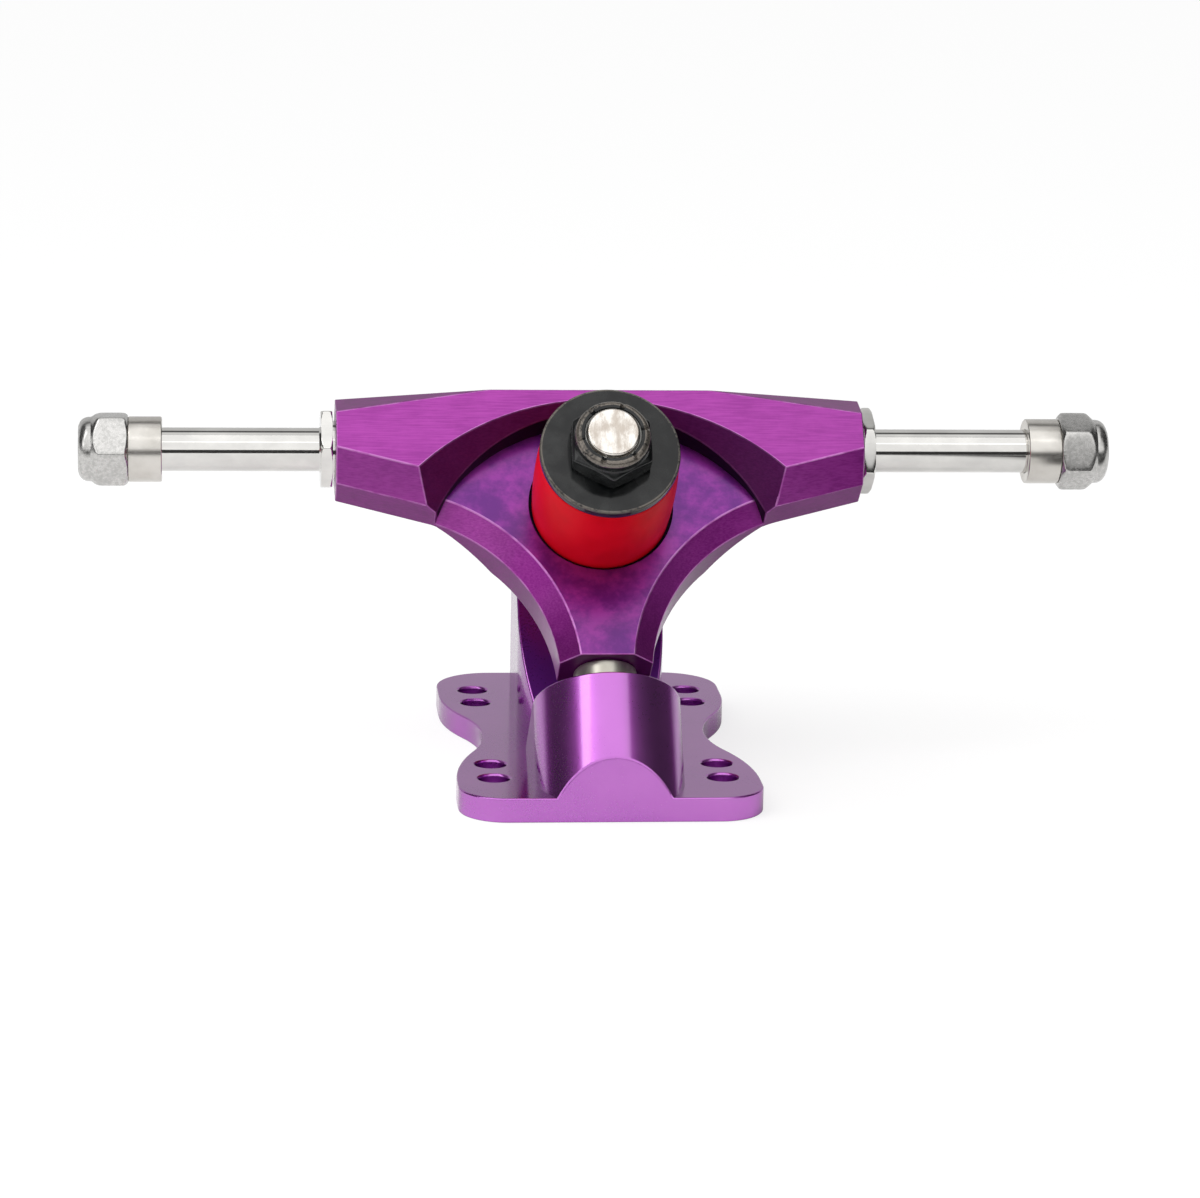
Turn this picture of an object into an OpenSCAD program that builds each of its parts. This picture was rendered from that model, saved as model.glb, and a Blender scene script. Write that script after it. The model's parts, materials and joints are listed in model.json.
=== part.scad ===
// Inverted-kingpin truck: bolt-down base plate, steering hanger, stub axles.
// Millimetres. X runs along the axles, Y towards the kingpin end of the plate, Z up.
// The origin is the centre of the bolt pattern on the plate's underside.
// The tilted frame has its origin where kingpin and pivot axis cross:
// there Y is the pivot axis (u) and Z is the kingpin (v).

/* [Base plate] */
// Length of the plate from the pivot end to the kingpin end
plate_len = 91; // [84:0.2:120]
// Width over the lobes
plate_w = 54.8; // [50:0.2:70]
// Width at the waist
waist_w = 41.8; // [38:0.2:46]
// Corner radius at the pivot end
corner_front = 8.5; // [6:0.5:14]
// Corner radius at the kingpin end
corner_back = 10.5; // [6:0.5:14]
// Plate thickness
plate_t = 4.5; // [3.5:0.1:8]
// Bolt spacing across the plate
bolt_x = 41.3; // [36:0.1:50]
// Bolt spacing along the plate, outer rows
bolt_y_outer = 63.5; // [50:0.1:80]
// Bolt spacing along the plate, inner rows
bolt_y_inner = 44.45; // [36:0.05:60]
// Bolt hole diameter
bolt_d = 5.5; // [4:0.1:6.6]

/* [Pivot] */
// Angle of the pivot axis above the plate
lean = 50; // [40:1:55]
// Kingpin crossing: distance along the plate
cross_y = -0.7; // [-8:0.1:8]
// Kingpin crossing: height above the underside
cross_z = 44.5; // [42:0.1:54]
// Diameter of the pivot housing
housing_d = 26.8; // [24:0.2:32]
// Distance from the kingpin axis to the housing's mouth
housing_u = 36.8; // [34:0.2:44]
// Pivot pin diameter in the cup
pin_d = 11.5; // [9:0.1:13]
// Diameter of the pin's shank in the hanger
pin_shank_d = 9.5; // [7:0.1:10]
// Wall of the pivot cup
cup_wall = 1.7; // [1.2:0.1:2.6]
// Depth of the pivot cup
cup_depth = 11.8; // [9:0.1:12.4]

/* [Kingpin and bushings] */
// Kingpin diameter
kingpin_d = 9.53; // [8:0.01:10]
// Outer diameter of both bushings
bushing_d = 25.4; // [22:0.1:27]
// Height of the road-side bushing
road_bushing_h = 19.8; // [15:0.1:24]
// Height of the board-side bushing
board_bushing_h = 16; // [13:0.1:20]
// Depth of the bushing seats
seat_depth = 1; // [0.4:0.1:2]
// Washer diameter
washer_d = 25.4; // [22:0.1:28]
// Washer thickness
washer_t = 2; // [1.2:0.1:3]
// Kingpin nut width across flats
kp_nut_af = 14.3; // [13:0.1:17]
// Kingpin nut height
kp_nut_h = 6.6; // [6:0.1:9]
// Thickness of the pillar between bushing seat and bolt head
pillar_grip = 13; // [10:0.2:15]
// Width of the pillar
pillar_w = 27.4; // [26.4:0.2:36]

/* [Hanger] */
// Width of the hanger
hanger_w = 97; // [86:0.5:130]
// Thickness of the beam
beam_t = 19; // [17:0.2:24]
// Distance of the axle behind the kingpin
axle_u = 12.7; // [10:0.1:16]
// Height of the axle above the pivot axis
rake = 5; // [2:0.1:7]
// Thickness of the neck
neck_t = 14.4; // [12.5:0.1:17]
// Bevel along the beam
beam_bevel = 4.9; // [3:0.1:7]
// Bevel along the beam's underside
under_bevel = 7.3; // [4:0.1:8]
// Chamfer along the neck
neck_chamfer = 3.6; // [2:0.1:4.6]
// Half width of the nose
nose_half = 8.5; // [8:0.1:11]
// Radius of the neck's concave sides
neck_arc = 34; // [30:0.5:38]
// Distance from the kingpin axis to the nose's end
nose_u = 30.5; // [27:0.1:33]
// Kingpin hole in the hanger
hanger_hole_d = 16; // [15:0.2:18]

/* [Axles] */
// Axle diameter
axle_d = 8; // [7:0.1:8.4]
// Bare shaft between collar and spacer
axle_free = 29; // [20:0.5:60]
// Collar width across flats
collar_af = 14; // [12:0.1:16]
// Collar thickness
collar_t = 2.1; // [1.5:0.1:4]
// Spacer length
spacer_len = 6.2; // [3:0.1:10]
// Spacer diameter
spacer_d = 12; // [11:0.1:14]
// Axle nut width across flats
axle_nut_af = 12.7; // [11:0.1:14]
// Axle nut length
axle_nut_len = 9; // [8:0.1:12]
// Diameter of the axle's stud in the hanger
stud_d = 10; // [8.4:0.1:11]
// Length of the stud
stud_len = 20; // [12:0.5:24]

/* [Fits] */
// Radial clearance where a piece turns or slides
run_fit = 0.05; // [0.02:0.01:0.1]
// Radial room around a bushing in its seat
seat_fit = 0.4; // [0.2:0.05:0.8]
// Radial room around the kingpin in plate, washers and bushings
kingpin_fit = 0.2; // [0.1:0.05:0.5]
// Radial clearance where a piece is fixed
fixed_fit = 0.02; // [0.01:0.01:0.05]

/* [Hidden] */
$fn = 72;
// longer than any cut or blank needs to be
reach = 80;
// small step by which a cut runs past the face that it opens
over = 1;
front_y = -plate_len / 2;
back_y = plate_len / 2;
floor_v = neck_t / 2;
beam_top = rake + beam_t / 2;
beam_low = rake - beam_t / 2;
bevel_low = beam_low + under_bevel;
half_w = hanger_w / 2;
back_u = axle_u + 7.5;
front_u = axle_u - 9.6;
road_seat = floor_v - seat_depth;
washer_v = road_seat + road_bushing_h;
nut_v = washer_v + washer_t;
tip_v = nut_v + kp_nut_h + 0.6;
tip_edge = 0.9;
board_seat = -floor_v + seat_depth;
pillar_seat = board_seat - board_bushing_h;
pillar_top = pillar_seat + seat_depth;
head_seat = pillar_seat - pillar_grip;
head_washer_t = 1.2;
head_v = head_seat - head_washer_t;
head_h = 9.5;
head_d = kingpin_d * 1.5;
head_key = 7.94;
head_edge = 0.8;
channel_d = head_d + 2.1;
seat_r = bushing_d / 2 + seat_fit;
pass_r = kingpin_d / 2 + kingpin_fit;
pillar_r = pillar_w / 2;
pillar_y = 11;
pillar_arc = 36;
pillar_back = 28;
cup_r = pin_d / 2 + cup_wall;
cup_floor = 1;
pin_edge = 1;
pin_end = housing_u + cup_depth - cup_floor - 0.3;
shank_u = hanger_hole_d / 2 + 3;
screw_d = 5;
screw_key = 2.5;
screw_u = -nose_u + 8;
shoulder_x = half_w + 0.5;
collar_x = shoulder_x + collar_t;
spacer_x = collar_x + axle_free;
nut_x = spacer_x + spacer_len;
axle_end = nut_x + axle_nut_len - 0.5;
// lock nuts: share of the hexagon, its edge, the collar's step, crimp and ring
nut_hex_share = 0.66;
nut_edge = 0.5;
collar_step = 0.7;
crimp_h = 0.7;
ring_h = 1.2;
ring_top = 0.6;
spacer_edge = 0.4;
axle_edge = 0.7;
// how far the hexagons on the left are turned against those on the right
left_collar_turn = 33;
left_nut_turn = 23;
// a corner of the kingpin nut points down to the pivot
kp_nut_turn = 30;
shoulder_step = 2;
// the neck's concave sides are arcs about this point, a little beyond the nose
arc_drop = 3.4;
arc_x = nose_half + sqrt(neck_arc * neck_arc - arc_drop * arc_drop);
arc_u = -nose_u - arc_drop;
// tangent from the beam's front corner to that arc
tan_dx = arc_x - half_w;
tan_du = arc_u - front_u;
tan_d = sqrt(tan_dx * tan_dx + tan_du * tan_du);
tan_a = atan2(tan_du, tan_dx) - asin(neck_arc / tan_d);
tan_l = sqrt(tan_d * tan_d - neck_arc * neck_arc);
tan_x = half_w + tan_l * cos(tan_a);
tan_u = front_u + tan_l * sin(tan_a);
// the facet along the beam's back edge: where it starts, its turn in plan and its tilt
facet_x = 20;
facet_turn = 9.4;
facet_tilt = 40.7;
// the round pocket for the bushing
pocket_r = 34;
pocket_u = -17.5;
flare_r = 47.1;
flare_u = -29;
// where the neck's concave side runs into the pocket
meet_d = norm([arc_x, arc_u - pocket_u]);
meet_a = (meet_d * meet_d + pocket_r * pocket_r - neck_arc * neck_arc) / (2 * meet_d);
meet_h = sqrt(pocket_r * pocket_r - meet_a * meet_a);
meet_x = (arc_x * meet_a + (pocket_u - arc_u) * meet_h) / meet_d;
// the neck's underside slopes up from beside the bushing seat to the beam's lower edge there
slope_x = seat_r + 0.9;
slope_a = atan2(bevel_low + floor_v, meet_x - slope_x);

purple = [0.42, 0.12, 0.55];
steel = [0.74, 0.73, 0.70];
black = [0.05, 0.05, 0.055];
red = [0.72, 0.03, 0.06];

// Places children in the tilted frame of kingpin and pivot axis.
module tilted() {
  translate([0, cross_y, cross_z])
    rotate([lean, 0, 0])
      children();
}

// Puts a rod drawn along Z onto the axle line, pointing to +X.
module on_axle() {
  tilted()
    translate([0, axle_u, rake])
      rotate([0, 90, 0])
        children();
}

module on_left_axle() {
  tilted()
    translate([0, axle_u, rake])
      rotate([0, -90, 0])
        children();
}

module hex(af, h) {
  cylinder(d = af / cos(30), h = h, $fn = 6);
}

// Hexagon whose corners are cut back at both ends, like a turned nut.
module nut_hex(af, h) {
  r_flat = 0.98 * af / 2;
  r_corner = 1.13 * af / 2;
  intersection() {
    hex(af, h);
    union() {
      cylinder(r1 = r_flat, r2 = r_corner, h = nut_edge, $fn = 48);
      translate([0, 0, nut_edge])
        cylinder(r = r_corner, h = h - 2 * nut_edge, $fn = 48);
      translate([0, 0, h - nut_edge])
        cylinder(r1 = r_corner, r2 = r_flat, h = nut_edge, $fn = 48);
    }
  }
}

// One side's waist cut of the plate, for the right-hand side.
module waist_cut() {
  half = plate_w / 2;
  dip = (plate_w - waist_w) / 2;
  y_mid = -1;
  y_back = back_y - 17.5;
  y_front = front_y + 12.5;
  waist_share = 0.46;
  s_back = (dip * dip + (y_back - y_mid) * (y_back - y_mid)) / (2 * dip);
  s_front = (dip * dip + (y_mid - y_front) * (y_mid - y_front)) / (2 * dip);
  r_waist = waist_share * s_back;
  cx = half - dip + r_waist;
  t_back = y_mid + r_waist * (y_back - y_mid) / s_back;
  t_front = y_mid - r_waist * (y_mid - y_front) / s_front;
  translate([cx, y_mid])
    circle(r = r_waist, $fn = 160);
  difference() {
    translate([half - dip, t_back])
      square([dip + over, y_back - t_back]);
    translate([half - s_back + r_waist, y_back])
      circle(r = s_back - r_waist, $fn = 160);
  }
  difference() {
    translate([half - dip, y_front])
      square([dip + over, t_front - y_front]);
    translate([half - s_front + r_waist, y_front])
      circle(r = s_front - r_waist, $fn = 160);
  }
}

module plate_outline() {
  half = plate_w / 2;
  difference() {
    union() {
      translate([-half, front_y + corner_front])
        square([plate_w, back_y - front_y - corner_front - corner_back]);
      translate([-half + corner_front, front_y])
        square([plate_w - 2 * corner_front, corner_front + over]);
      translate([-half + corner_back, back_y - corner_back - over])
        square([plate_w - 2 * corner_back, corner_back + over]);
      for (s = [-1, 1]) {
        translate([s * (half - corner_front), front_y + corner_front])
          circle(r = corner_front);
        translate([s * (half - corner_back), back_y - corner_back])
          circle(r = corner_back);
      }
    }
    waist_cut();
    mirror([1, 0])
      waist_cut();
  }
}

// Half-round pivot housing with straight sides down to the plate.
module housing() {
  intersection() {
    tilted()
      union() {
        translate([0, -housing_u, 0])
          rotate([90, 0, 0])
            cylinder(d = housing_d, h = reach, $fn = 96);
        translate([-housing_d / 2, -housing_u - reach, -reach])
          cube([housing_d, reach, reach]);
      }
    translate([-reach / 2, front_y, plate_t / 2])
      cube([reach, plate_len, reach]);
  }
}

// Plan of the pillar: straight sides at the back, long arcs towards the front.
module pillar_plan() {
  intersection() {
    pillar_front();
    translate([-pillar_r, pillar_y - reach])
      square([pillar_w, reach]);
  }
  translate([-pillar_r, pillar_y - over])
    square([pillar_w, pillar_back - pillar_y + over]);
}

module pillar_front() {
  intersection() {
    translate([pillar_arc - pillar_r, pillar_y])
      circle(r = pillar_arc, $fn = 160);
    translate([pillar_r - pillar_arc, pillar_y])
      circle(r = pillar_arc, $fn = 160);
  }
}

// Wedge that carries the kingpin.
module pillar() {
  intersection() {
    translate([0, 0, plate_t / 2])
      linear_extrude(height = reach)
        pillar_plan();
    tilted()
      translate([-reach / 2, -reach, pillar_top - reach])
        cube([reach, reach + pillar_r, reach]);
  }
}

module base_plate() {
  color(purple)
    difference() {
      union() {
        linear_extrude(height = plate_t)
          plate_outline();
        housing();
        pillar();
      }
      for (x = [-1, 1], y = [-bolt_y_outer, -bolt_y_inner, bolt_y_inner, bolt_y_outer])
        translate([x * bolt_x / 2, y / 2, -over])
          cylinder(d = bolt_d, h = plate_t + 2 * over, $fn = 48);
      tilted()
        translate([0, -housing_u + over, 0])
          rotate([90, 0, 0])
            cylinder(r = cup_r + fixed_fit, h = cup_depth + over);
      tilted()
        translate([0, 0, pillar_seat])
          cylinder(r = seat_r, h = seat_depth + over);
      tilted()
        translate([0, 0, head_seat - over])
          cylinder(r = pass_r, h = pillar_grip + 2 * over, $fn = 60);
      tilted()
        translate([0, 0, head_seat - reach])
          cylinder(d = channel_d, h = reach);
    }
}

module pivot_cup() {
  color([0.92, 0.91, 0.87])
    tilted()
      translate([0, -housing_u, 0])
        rotate([90, 0, 0])
          difference() {
            cylinder(r = cup_r, h = cup_depth);
            translate([0, 0, -over])
              cylinder(d = pin_d + 2 * run_fit, h = cup_depth);
          }
}

module pivot_pin() {
  color(steel)
    tilted()
      union() {
        translate([0, -nose_u, 0])
          rotate([90, 0, 0])
            cylinder(d = pin_d, h = pin_end - nose_u - pin_edge);
        translate([0, -pin_end + pin_edge, 0])
          rotate([90, 0, 0])
            cylinder(d1 = pin_d, d2 = pin_d - 2 * pin_edge, h = pin_edge);
        translate([0, -shank_u, 0])
          rotate([90, 0, 0])
            cylinder(d = pin_shank_d, h = nose_u - shank_u + pin_edge);
      }
}

module pivot_set_screw() {
  color(black)
    tilted()
      translate([0, screw_u, -floor_v])
        difference() {
          cylinder(d = screw_d, h = floor_v - pin_shank_d / 2, $fn = 40);
          translate([0, 0, -over])
            hex(screw_key, over + screw_key / 2);
        }
}

module hanger_outline() {
  difference() {
    polygon([[-half_w, back_u], [half_w, back_u], [half_w, front_u], [tan_x, tan_u],
             [tan_x, -nose_u], [-tan_x, -nose_u], [-tan_x, tan_u], [-half_w, front_u]]);
    for (s = [-1, 1])
      translate([s * arc_x, arc_u])
        circle(r = neck_arc, $fn = 160);
  }
}

// Cuts one long bevel along the right-hand front edge of the beam, at the top.
module front_bevel(depth) {
  translate([half_w, front_u, beam_top - depth])
    rotate([0, 0, tan_a - 180])
      rotate([-45, 0, 0])
        translate([-reach, -reach, 0])
          cube([reach * 1.2, reach, reach]);
}

// Cuts the facet along the right-hand back edge, running out towards the middle.
module back_bevel() {
  translate([facet_x, back_u, beam_top])
    rotate([0, 0, -facet_turn])
      rotate([-facet_tilt, 0, 0])
        translate([-over, -reach / 2, 0])
          cube([reach, reach, reach]);
}

module end_cuts() {
  for (s = [0, 1], t = [0, 1])
    mirror([s, 0, 0])
      translate([0, 0, t * 2 * rake])
        mirror([0, 0, t]) {
          front_bevel(t == 0 ? beam_bevel : under_bevel);
          back_bevel();
        }
}

// The sloping edge of the neck, on the right-hand side at the top.
module neck_edge() {
  translate([arc_x, arc_u, floor_v - neck_chamfer])
    cylinder(r1 = neck_arc, r2 = neck_arc + neck_chamfer, h = neck_chamfer, $fn = 120);
}

module neck_edges() {
  intersection() {
    for (s = [0, 1], t = [0, 1])
      mirror([s, 0, 0])
        mirror([0, 0, t])
          neck_edge();
    translate([0, pocket_u, -floor_v - over])
      cylinder(r = pocket_r, h = neck_t + 2 * over, $fn = 160);
  }
}

// Cuts the neck's underside on the right-hand side.
module under_slope() {
  translate([slope_x, 0, -floor_v])
    rotate([0, -slope_a, 0])
      translate([-reach / 2, -reach / 2, -reach])
        cube([reach, reach, reach]);
}

module hanger() {
  pocket_h = beam_top - floor_v;
  color(purple)
    tilted()
      difference() {
        union() {
          difference() {
            translate([0, 0, beam_low])
              linear_extrude(height = beam_t)
                hanger_outline();
            end_cuts();
          }
          difference() {
            intersection() {
              translate([0, 0, -floor_v])
                linear_extrude(height = neck_t)
                  hanger_outline();
              translate([0, pocket_u, -floor_v - over])
                cylinder(r = pocket_r, h = neck_t + 2 * over, $fn = 160);
            }
            for (s = [0, 1])
              mirror([s, 0, 0])
                under_slope();
          }
        }
        translate([0, pocket_u, floor_v])
          cylinder(r = pocket_r, h = pocket_h + over, $fn = 160);
        translate([0, flare_u, floor_v])
          cylinder(r1 = flare_r - pocket_h, r2 = flare_r + over, h = pocket_h + over, $fn = 160);
        neck_edges();
        translate([0, 0, -floor_v - over])
          cylinder(d = hanger_hole_d, h = neck_t + 2 * over);
        translate([0, 0, road_seat])
          cylinder(r = seat_r, h = seat_depth + over);
        translate([0, 0, -floor_v - over])
          cylinder(r = seat_r, h = seat_depth + over);
        rotate([90, 0, 0])
          cylinder(d = pin_shank_d + 2 * fixed_fit, h = nose_u + over);
        translate([0, screw_u, -floor_v - over])
          cylinder(d = screw_d + 2 * fixed_fit, h = floor_v + over, $fn = 40);
        for (s = [-1, 1])
          translate([s * half_w, axle_u, rake])
            rotate([0, s * -90, 0])
              translate([0, 0, -over])
                cylinder(d = stud_d + 2 * fixed_fit, h = stud_len + 2 * over);
      }
}

module kingpin() {
  color(steel)
    tilted()
      difference() {
        union() {
          translate([0, 0, head_v])
            cylinder(d = kingpin_d, h = tip_v - tip_edge - head_v);
          translate([0, 0, tip_v - tip_edge])
            cylinder(d1 = kingpin_d, d2 = kingpin_d - 2 * tip_edge, h = tip_edge);
          translate([0, 0, head_v - head_h + head_edge])
            cylinder(d = head_d, h = head_h - head_edge);
          translate([0, 0, head_v - head_h])
            cylinder(d1 = head_d - 2 * head_edge, d2 = head_d, h = head_edge);
        }
        translate([0, 0, head_v - head_h - over])
          hex(head_key, over + head_h / 2);
      }
}

module kingpin_head_washer() {
  color(black)
    tilted()
      translate([0, 0, head_v])
        difference() {
          cylinder(d = channel_d - 2 * seat_fit, h = head_washer_t);
          translate([0, 0, -over])
            cylinder(r = pass_r, h = head_washer_t + 2 * over);
        }
}

// Outer radius of the locking ring, midway between bore and collar.
function ring_r(af, bore) = (bore + af - collar_step) / 4;

// Self-locking nut standing on Z = 0: hexagon, then a round collar that holds the ring.
module lock_nut(af, h, bore) {
  hex_h = nut_hex_share * h;
  difference() {
    union() {
      nut_hex(af, hex_h);
      translate([0, 0, hex_h - nut_edge])
        cylinder(d = af - collar_step, h = h - hex_h + nut_edge - crimp_h);
      translate([0, 0, h - crimp_h])
        cylinder(d1 = af - collar_step, d2 = af - collar_step - 2 * crimp_h, h = crimp_h);
    }
    translate([0, 0, -over])
      cylinder(d = bore, h = h + 2 * over);
    translate([0, 0, h - ring_top - ring_h])
      cylinder(r = ring_r(af, bore), h = ring_h);
  }
}

module lock_ring(af, h, bore) {
  translate([0, 0, h - ring_top - ring_h])
    difference() {
      cylinder(r = ring_r(af, bore) - fixed_fit, h = ring_h);
      translate([0, 0, -over])
        cylinder(d = bore, h = ring_h + 2 * over);
    }
}

module kingpin_nut() {
  color(black)
    tilted()
      translate([0, 0, nut_v])
        rotate([0, 0, kp_nut_turn])
          lock_nut(kp_nut_af, kp_nut_h, kingpin_d + 2 * run_fit);
}

module kingpin_nut_insert() {
  color([0.12, 0.12, 0.13])
    tilted()
      translate([0, 0, nut_v])
        lock_ring(kp_nut_af, kp_nut_h, kingpin_d + 2 * run_fit);
}

module road_washer() {
  color(black)
    tilted()
      translate([0, 0, washer_v])
        difference() {
          cylinder(d = washer_d, h = washer_t, $fn = 96);
          translate([0, 0, -over])
            cylinder(r = pass_r, h = washer_t + 2 * over);
        }
}

module bushing(h) {
  difference() {
    cylinder(d = bushing_d, h = h, $fn = 96);
    translate([0, 0, -over])
      cylinder(r = pass_r, h = h + 2 * over);
  }
}

module road_bushing() {
  color(red)
    tilted()
      translate([0, 0, road_seat])
        bushing(road_bushing_h);
}

module board_bushing() {
  color(red)
    tilted()
      translate([0, 0, pillar_seat])
        bushing(board_bushing_h);
}

// Stub axle along Z: stud in the hanger, shoulder, hexagonal collar, shaft.
module axle(collar_turn) {
  translate([0, 0, half_w - stud_len])
    cylinder(d = stud_d, h = stud_len);
  translate([0, 0, half_w])
    cylinder(d = collar_af - shoulder_step, h = shoulder_x - half_w);
  translate([0, 0, shoulder_x])
    rotate([0, 0, collar_turn])
      nut_hex(collar_af, collar_t);
  translate([0, 0, shoulder_x])
    cylinder(d = axle_d, h = axle_end - axle_edge - shoulder_x);
  translate([0, 0, axle_end - axle_edge])
    cylinder(d1 = axle_d, d2 = axle_d - 2 * axle_edge, h = axle_edge);
}

module axle_left() {
  color(steel)
    on_left_axle()
      axle(left_collar_turn);
}

module axle_right() {
  color(steel)
    on_axle()
      axle(0);
}

module spacer() {
  translate([0, 0, spacer_x])
    difference() {
      union() {
        cylinder(d1 = spacer_d - 2 * spacer_edge, d2 = spacer_d, h = spacer_edge);
        translate([0, 0, spacer_edge])
          cylinder(d = spacer_d, h = spacer_len - 2 * spacer_edge);
        translate([0, 0, spacer_len - spacer_edge])
          cylinder(d1 = spacer_d, d2 = spacer_d - 2 * spacer_edge, h = spacer_edge);
      }
      translate([0, 0, -over])
        cylinder(d = axle_d + 2 * run_fit, h = spacer_len + 2 * over);
    }
}

module spacer_left() {
  color([0.70, 0.68, 0.64])
    on_left_axle()
      spacer();
}

module spacer_right() {
  color([0.70, 0.68, 0.64])
    on_axle()
      spacer();
}

module axle_nut_left() {
  color([0.66, 0.66, 0.66])
    on_left_axle()
      translate([0, 0, nut_x])
        rotate([0, 0, left_nut_turn])
          lock_nut(axle_nut_af, axle_nut_len, axle_d + 2 * run_fit);
}

module axle_nut_right() {
  color([0.66, 0.66, 0.66])
    on_axle()
      translate([0, 0, nut_x])
        lock_nut(axle_nut_af, axle_nut_len, axle_d + 2 * run_fit);
}

module axle_nut_insert_left() {
  color([0.86, 0.86, 0.84])
    on_left_axle()
      translate([0, 0, nut_x])
        lock_ring(axle_nut_af, axle_nut_len, axle_d + 2 * run_fit);
}

module axle_nut_insert_right() {
  color([0.86, 0.86, 0.84])
    on_axle()
      translate([0, 0, nut_x])
        lock_ring(axle_nut_af, axle_nut_len, axle_d + 2 * run_fit);
}

base_plate();
pivot_cup();
pivot_pin();
pivot_set_screw();
hanger();
kingpin();
kingpin_head_washer();
kingpin_nut();
kingpin_nut_insert();
road_washer();
road_bushing();
board_bushing();
axle_left();
axle_right();
spacer_left();
spacer_right();
axle_nut_left();
axle_nut_right();
axle_nut_insert_left();
axle_nut_insert_right();
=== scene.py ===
# %% [markdown]
# # A skate truck in purple anodised aluminium
# The truck is a plate that bolts under a deck, a leaning kingpin with two urethane bushings, and a
# hanger that steers on it and carries the stub axles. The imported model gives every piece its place
# and size. This file gives each piece its finished surface, its material and the studio around it.

# %% Load the frame
import json
import math

import bmesh
import bpy
import numpy as np
from mathutils import Matrix


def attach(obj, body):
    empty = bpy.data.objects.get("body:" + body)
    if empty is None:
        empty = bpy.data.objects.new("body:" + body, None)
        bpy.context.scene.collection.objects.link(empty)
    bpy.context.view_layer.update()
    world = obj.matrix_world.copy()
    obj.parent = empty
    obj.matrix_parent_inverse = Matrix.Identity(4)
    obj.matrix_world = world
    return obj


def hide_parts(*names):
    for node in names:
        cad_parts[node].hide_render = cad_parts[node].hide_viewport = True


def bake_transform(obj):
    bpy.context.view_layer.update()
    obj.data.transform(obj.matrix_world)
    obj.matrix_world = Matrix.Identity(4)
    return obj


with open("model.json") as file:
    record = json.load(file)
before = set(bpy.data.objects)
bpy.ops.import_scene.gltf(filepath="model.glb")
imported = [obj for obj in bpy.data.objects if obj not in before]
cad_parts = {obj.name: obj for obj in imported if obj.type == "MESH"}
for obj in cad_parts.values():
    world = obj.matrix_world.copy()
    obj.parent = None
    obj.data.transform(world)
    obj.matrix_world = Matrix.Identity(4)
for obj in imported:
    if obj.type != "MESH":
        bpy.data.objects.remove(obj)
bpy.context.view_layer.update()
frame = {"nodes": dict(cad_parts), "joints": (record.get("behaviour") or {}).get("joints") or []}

# %% [markdown]
# ## Axes and sizes
# The round pieces of a truck lie about one of three lines: the kingpin, the pivot axis or the axle. The
# steer joint holds the point where kingpin and pivot axis cross, and the joints hold the directions.
# Sizes could be typed in again, but most are read off the nodes, so a changed model changes the
# finished pieces with it.

# %% Lines to build round
MM = 0.001
joints = {joint["name"]: joint for joint in frame["joints"]}
crossing = np.array(joints["steer"]["pos_m"])
pivot_dir = np.array(joints["steer"]["axis"])
kingpin_dir = np.array(joints["kingpin_nut_turn"]["axis"])
across = np.array([1.0, 0.0, 0.0])
axle_point = np.array(joints["nut_right_turn"]["pos_m"]) * (1 - across)


class Line:
    """A line to build round: a point, a direction and two directions square to it."""

    def __init__(self, point, direction, side):
        self.point = point
        self.along = direction / np.linalg.norm(direction)
        self.side = side - self.along * (side @ self.along)
        self.side /= np.linalg.norm(self.side)
        self.other = np.cross(self.along, self.side)

    def place(self, radius, height, angle):
        """Point + radius (cos angle side + sin angle other) + height along, for whole arrays."""
        radius, height, angle = np.broadcast_arrays(radius, height, angle)
        ring = np.cos(angle)[..., None] * self.side + np.sin(angle)[..., None] * self.other
        return self.point + radius[..., None] * ring + height[..., None] * self.along

    def around(self, points):
        """Height along the line and distance from it for each row of an array of points."""
        offset = points - self.point
        height = offset @ self.along
        return height, np.linalg.norm(offset - height[:, None] * self.along, axis=1)


kingpin_line = Line(crossing, kingpin_dir, across)
pivot_line = Line(crossing, -pivot_dir, across)
axle_lines = {
    "left": Line(axle_point, -across, kingpin_dir),
    "right": Line(axle_point, across, kingpin_dir),
}
print("kingpin leans", round(math.degrees(math.acos(kingpin_dir[2])), 1), "degrees from upright")

# %% Measures of a node


def column(items, name, kind, width=1):
    """One property of all vertices, faces or corners of a mesh as an array."""
    flat = np.empty(len(items) * width, kind)
    items.foreach_get(name, flat)
    return flat if width == 1 else flat.reshape(-1, width)


def node_points(node):
    """All points of a node as an array."""
    return column(frame["nodes"][node].data.vertices, "co", np.float32, 3).astype(float)


def extent(node, line):
    """Lowest height, highest height and largest radius of a node about a line."""
    height, radius = line.around(node_points(node))
    return height.min(), height.max(), radius.max()


def inner_radius(node, line):
    """Smallest distance of a node's points from a line."""
    return line.around(node_points(node))[1].min()


print("hanger is", round(2 * extent("hanger", axle_lines["right"])[1] / MM, 1), "mm wide")

# %% [markdown]
# ## Shader maths as Python
# A finish is arithmetic on patterns: streaks times a little, plus clouds. Node trees can be drawn by
# hand, but that hides the sums, so one small class lets a socket take part in Python expressions, and
# another adds any node by its type.

# %% Sockets that can be added and multiplied


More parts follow.
